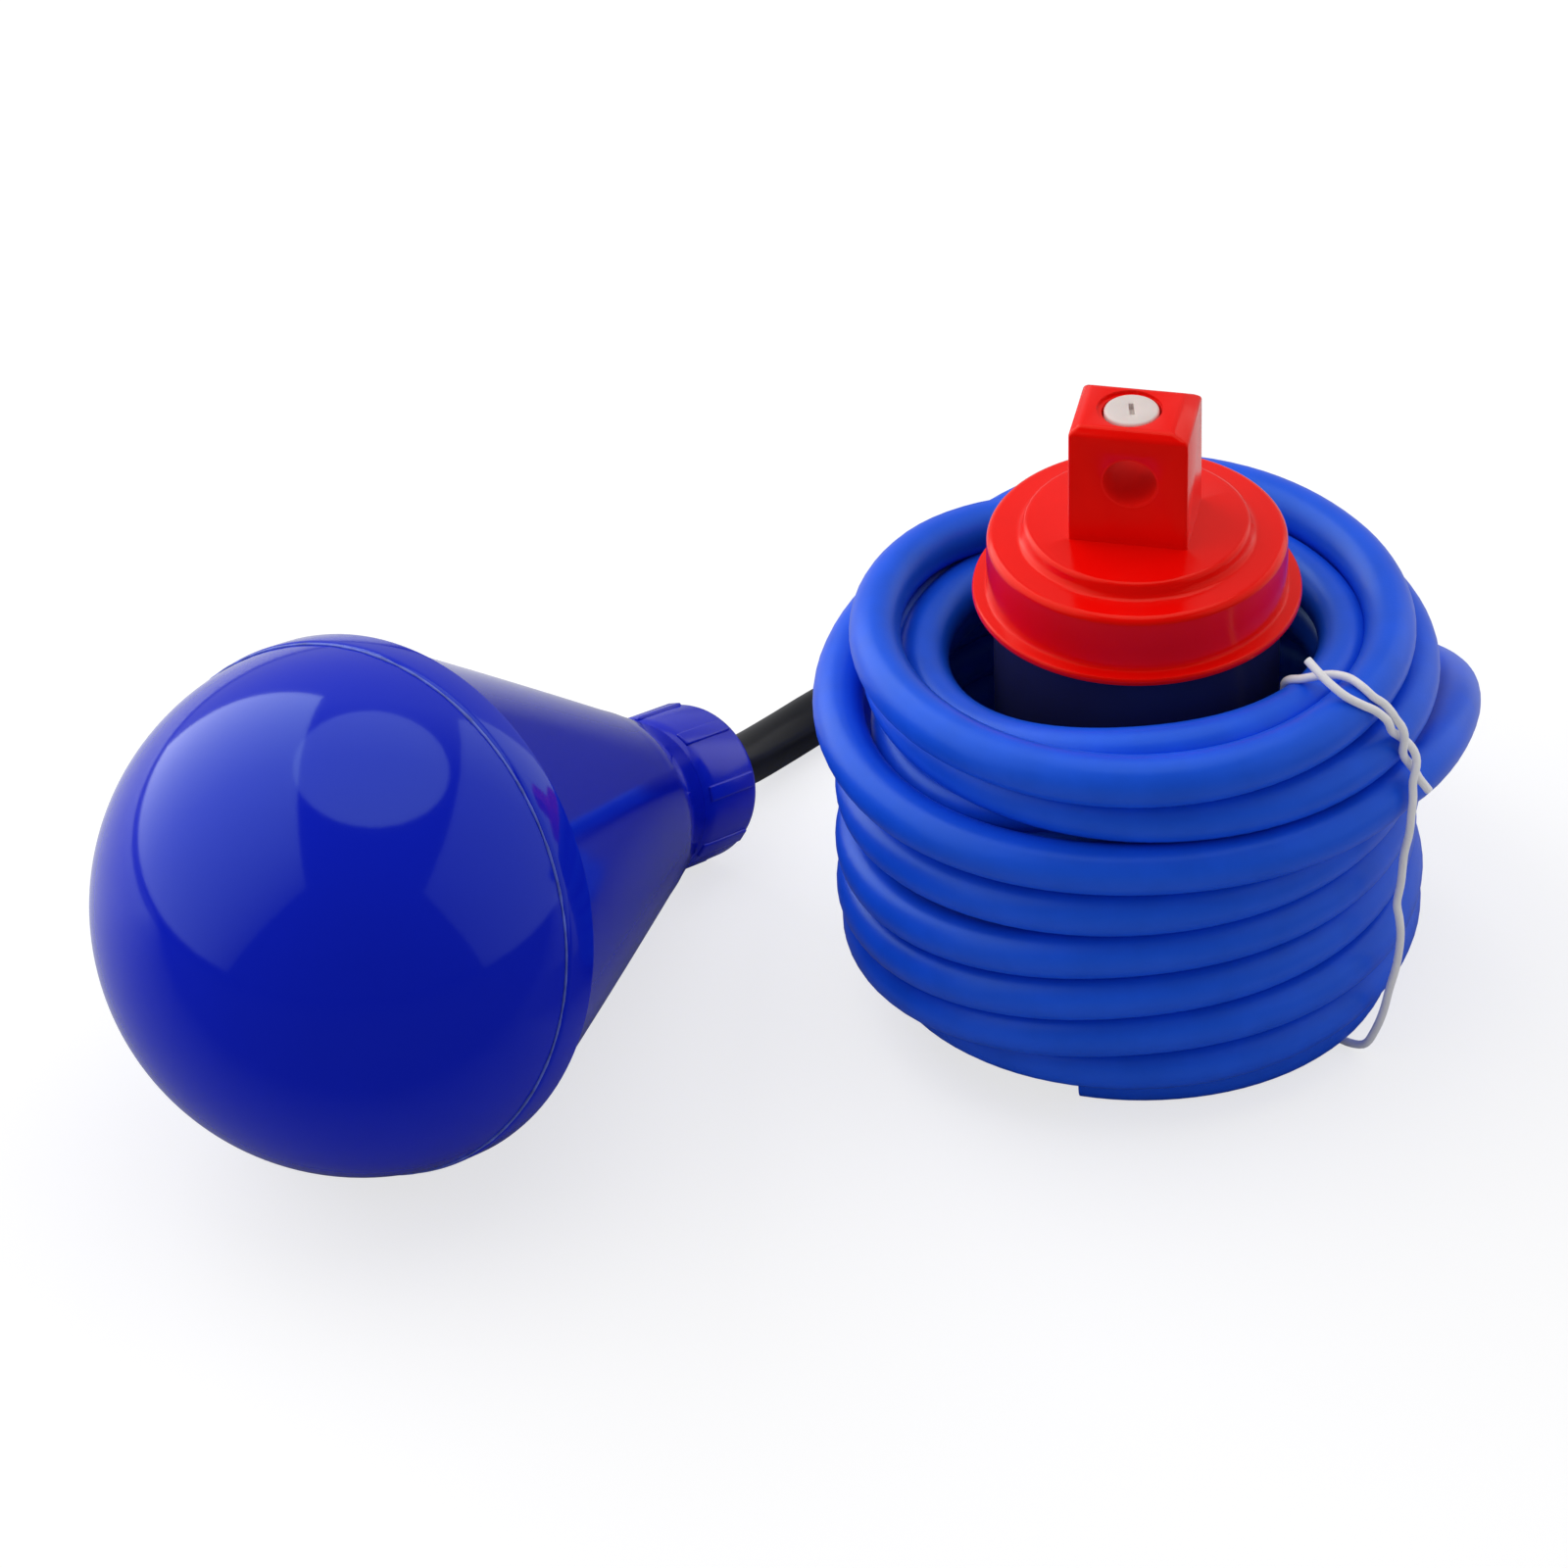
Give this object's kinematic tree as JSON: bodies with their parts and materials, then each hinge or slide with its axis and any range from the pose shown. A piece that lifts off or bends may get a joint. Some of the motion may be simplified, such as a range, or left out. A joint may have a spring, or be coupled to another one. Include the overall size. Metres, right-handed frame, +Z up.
{
  "type": "cable float switch",
  "caption": "Ball float with a tilt switch inside, on a coiled cable tied in a ring round a cylindrical counterweight whose cap carries a clamping head.",
  "frame": {"origin": "centre of the counterweight's underside, on the floor", "axes": "+X to the right, from the float towards the coil; +Z up along the counterweight's axis"},
  "size_m": [0.1971, 0.1368, 0.0956],
  "materials": {
    "float_blue": "high gloss moulded",
    "cable_blue": "satin flexible sheath",
    "sleeve_black": "satin",
    "cap_red": "gloss moulded",
    "case_navy": "satin moulded",
    "nylon_white": "natural nylon",
    "canister_grey": "plain moulded",
    "switch_black": "fine moulded",
    "steel": "bright",
    "iron": "as cast, ground ends",
    "brass": "plain",
    "rubber_seal": "matt",
    "core_brown": "satin insulation",
    "core_blue": "satin insulation",
    "core_black": "satin insulation",
    "tie_white": "smooth coating"
  },
  "bodies": {
    "float_switch": {"float_dome": "float_blue", "float_cone": "float_blue", "gland_nut": "float_blue", "gland_seal": "rubber_seal", "gland_washer": "nylon_white", "switch_canister": "canister_grey", "canister_lid": "canister_grey", "ball_race": "nylon_white", "switch_body": "switch_black", "lever_pin": "steel", "switch_screw_1": "steel", "switch_screw_2": "steel", "terminal_common": "brass", "terminal_open": "brass", "terminal_closed": "brass", "core_wire_brown": "core_brown", "core_wire_blue": "core_blue", "core_wire_black": "core_black", "weight_case": "case_navy", "weight_slug": "iron", "weight_cap": "cap_red", "clamp_screw": "nylon_white", "cable_sleeve": "sleeve_black", "cable_lead": "cable_blue", "cable_coil": "cable_blue", "twist_tie": "tie_white"},
    "ball": {"steel_ball": "steel"},
    "lever": {"switch_lever": "steel"},
    "plunger": {"switch_plunger": "nylon_white"}
  },
  "joints": [
    {"name": "ball_roll", "type": "slide", "parent": "float_switch", "child": "ball", "axis": [-0.5665, -0.7518, 0.3375], "range_m": [0, 0.0246]},
    {"name": "lever_press", "type": "hinge", "parent": "float_switch", "child": "lever", "pos_m": [-0.10691, -0.03886, 0.0404], "axis": [0.2031, 0.2695, 0.9413], "range_deg": [0, 8], "stiffness_Nm_per_rad": 0.001, "springref_deg": -11.46},
    {"name": "plunger_press", "type": "slide", "parent": "float_switch", "child": "plunger", "axis": [-0.5665, -0.7518, 0.3375], "range_m": [0, 0.001]}
  ],
  "couplings": [
    {"joint": "plunger_press", "follows": "lever_press", "m_per_rad": 0.007}
  ]
}
